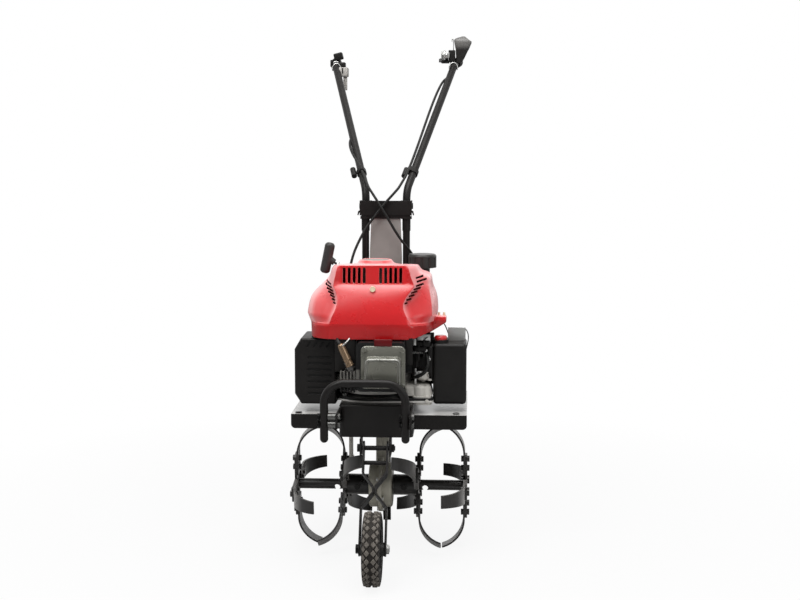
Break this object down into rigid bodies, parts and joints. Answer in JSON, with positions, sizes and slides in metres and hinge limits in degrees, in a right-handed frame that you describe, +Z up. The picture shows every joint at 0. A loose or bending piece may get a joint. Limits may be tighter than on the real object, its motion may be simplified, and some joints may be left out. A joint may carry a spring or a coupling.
{
  "type": "garden tiller",
  "caption": "Walk-behind garden tiller with a vertical-shaft petrol engine, belt clutch, worm gearbox, bolted tines, folding front wheel, drag stake and folding handlebar.",
  "frame": {"origin": "middle of the footprint of the overall box, on the ground", "axes": "+Z up; +X to the right as seen in the picture (the machine faces the viewer); the machine faces -Y and the grips reach back along +Y"},
  "size_m": [0.395, 1.0215, 1.1739],
  "materials": {
    "black_paint": "satin black paint",
    "fender_paint": "satin black paint that shines pale from above",
    "tine_paint": "satin black paint on cutting steel",
    "red_cover": "gloss red moulding",
    "panel_paint": "satin warm grey paint",
    "cast_alloy": "bead-blasted casting",
    "gear_alloy": "dull grey-olive casting",
    "silver_cover": "silver paint on a pressed cover",
    "steel": "turned steel",
    "zinc": "zinc plated",
    "iron": "machined cast iron",
    "bronze": "sintered bronze and gear bronze",
    "rubber": "matt black rubber",
    "tyre": "dusty grey-brown rubber",
    "rim_plastic": "moulded dark plastic",
    "black_plastic": "moulded black plastic",
    "grey_plastic": "moulded grey plastic",
    "tank_plastic": "blow-moulded black plastic",
    "boot": "bronze-coloured rubber boot",
    "primer_red": "soft red rubber",
    "gold_screw": "yellow passivated"
  },
  "bodies": {
    "frame": {"engine_bed": "black_paint", "left_fender": "fender_paint", "right_fender": "fender_paint", "bumper": "black_paint", "frame_bolts": "zinc", "arm_pivot": "zinc", "gearcase_left": "gear_alloy", "gearcase_right": "gear_alloy", "gearcase_bolts": "zinc", "gear_bearings": "bronze", "crankcase": "cast_alloy", "cylinder_head": "cast_alloy", "valve_cover": "silver_cover", "valve_cover_bolts": "zinc", "spark_plug": "steel", "plug_boot": "boot", "muffler": "zinc", "muffler_guard": "black_paint", "carburettor": "black_plastic", "air_filter": "black_plastic", "control_bracket": "zinc", "engine_cowl": "red_cover", "cowl_screws": "gold_screw", "v_belt": "rubber", "fuel_tank": "tank_plastic", "column_tubes": "black_paint", "column_panel": "panel_paint", "handle_bracket": "black_paint", "lower_cables": "black_plastic"},
    "tines": {"tine_axle": "steel", "worm_wheel": "bronze", "tine_carriers": "tine_paint", "outer_blades": "tine_paint", "inner_blades": "tine_paint", "blade_bolts": "zinc", "carrier_pins": "zinc"},
    "worm": {"worm_shaft": "steel", "driven_pulley": "iron"},
    "crank": {"crankshaft": "steel", "flywheel": "cast_alloy", "drive_pulley": "iron"},
    "idler_arm": {"idler_arm": "zinc"},
    "idler": {"idler_pulley": "iron"},
    "wheel_arm": {"wheel_arm": "black_paint", "wheel_axle": "zinc"},
    "wheel": {"wheel_rim": "rim_plastic", "wheel_tyre": "tyre"},
    "handlebar": {"left_arm": "black_paint", "right_arm": "black_paint", "handle_grips": "rubber", "cable_clamps": "black_plastic", "lever_mounts": "black_plastic", "upper_cables": "black_plastic"},
    "clutch_lever": {"clutch_lever": "black_plastic"},
    "throttle_lever": {"throttle_lever": "grey_plastic"},
    "starter_grip": {"recoil_grip": "black_plastic"},
    "starter_pulley": {"recoil_pulley": "grey_plastic"},
    "fuel_cap": {"fuel_cap": "black_plastic"},
    "primer": {"primer_bulb": "primer_red"},
    "stake": {"drag_stake": "black_paint"}
  },
  "joints": [
    {"name": "tine_spin", "type": "hinge", "parent": "frame", "child": "tines", "pos_m": [0, -0.153, 0.141], "axis": [1, 0, 0], "continuous": true},
    {"name": "worm_spin", "type": "hinge", "parent": "frame", "child": "worm", "pos_m": [0, -0.106, 0.141], "axis": [0, 0, 1], "continuous": true},
    {"name": "crank_spin", "type": "hinge", "parent": "frame", "child": "crank", "pos_m": [-0.008, -0.193, 0.438], "axis": [0, 0, 1], "continuous": true},
    {"name": "idler_swing", "type": "hinge", "parent": "frame", "child": "idler_arm", "pos_m": [-0.056, -0.056, 0.324], "axis": [0, 0, 1], "range_deg": [0, 4]},
    {"name": "idler_spin", "type": "hinge", "parent": "idler_arm", "child": "idler", "pos_m": [-0.057, -0.157, 0.314], "axis": [0, 0, 1], "continuous": true},
    {"name": "wheel_fold", "type": "hinge", "parent": "frame", "child": "wheel_arm", "pos_m": [0, -0.329, 0.264], "axis": [-1, 0, 0], "range_deg": [0, 80]},
    {"name": "wheel_spin", "type": "hinge", "parent": "wheel_arm", "child": "wheel", "pos_m": [0, -0.433, 0.077], "axis": [1, 0, 0], "continuous": true},
    {"name": "handle_fold", "type": "hinge", "parent": "frame", "child": "handlebar", "pos_m": [0, 0.034, 0.756], "axis": [-1, 0, 0], "range_deg": [0, 80]},
    {"name": "clutch_squeeze", "type": "hinge", "parent": "handlebar", "child": "clutch_lever", "pos_m": [0.131, 0.402, 1.117], "axis": [0, 0, -1], "range_deg": [0, 15], "stiffness_Nm_per_rad": 2, "springref_deg": -11.46},
    {"name": "throttle_turn", "type": "hinge", "parent": "handlebar", "child": "throttle_lever", "pos_m": [-0.1255, 0.383, 1.079], "axis": [1, 0, 0], "range_deg": [0, 35]},
    {"name": "starter_pull", "type": "slide", "parent": "frame", "child": "starter_grip", "axis": [-0.8299, 0, 0.5579], "range_m": [0, 0.5], "stiffness_N_per_m": 25, "springref_m": -0.3},
    {"name": "starter_spin", "type": "hinge", "parent": "frame", "child": "starter_pulley", "pos_m": [-0.008, -0.193, 0.575], "axis": [0, 0, 1], "range_deg": [0, 780]},
    {"name": "cap_turn", "type": "hinge", "parent": "frame", "child": "fuel_cap", "pos_m": [0.087, -0.031, 0.634], "axis": [0, 0, 1], "range_deg": [0, 90]},
    {"name": "primer_push", "type": "slide", "parent": "frame", "child": "primer", "axis": [0, 0, -1], "range_m": [0, 0.005], "stiffness_N_per_m": 400, "springref_m": -0.002},
    {"name": "stake_slide", "type": "slide", "parent": "frame", "child": "stake", "axis": [0, 0, 1], "range_m": [0, 0.1]}
  ],
  "couplings": [
    {"joint": "worm_spin", "follows": "tine_spin", "ratio": -24},
    {"joint": "idler_swing", "follows": "clutch_squeeze", "ratio": 0.26667},
    {"joint": "starter_spin", "follows": "starter_pull", "rad_per_m": 26.667}
  ]
}
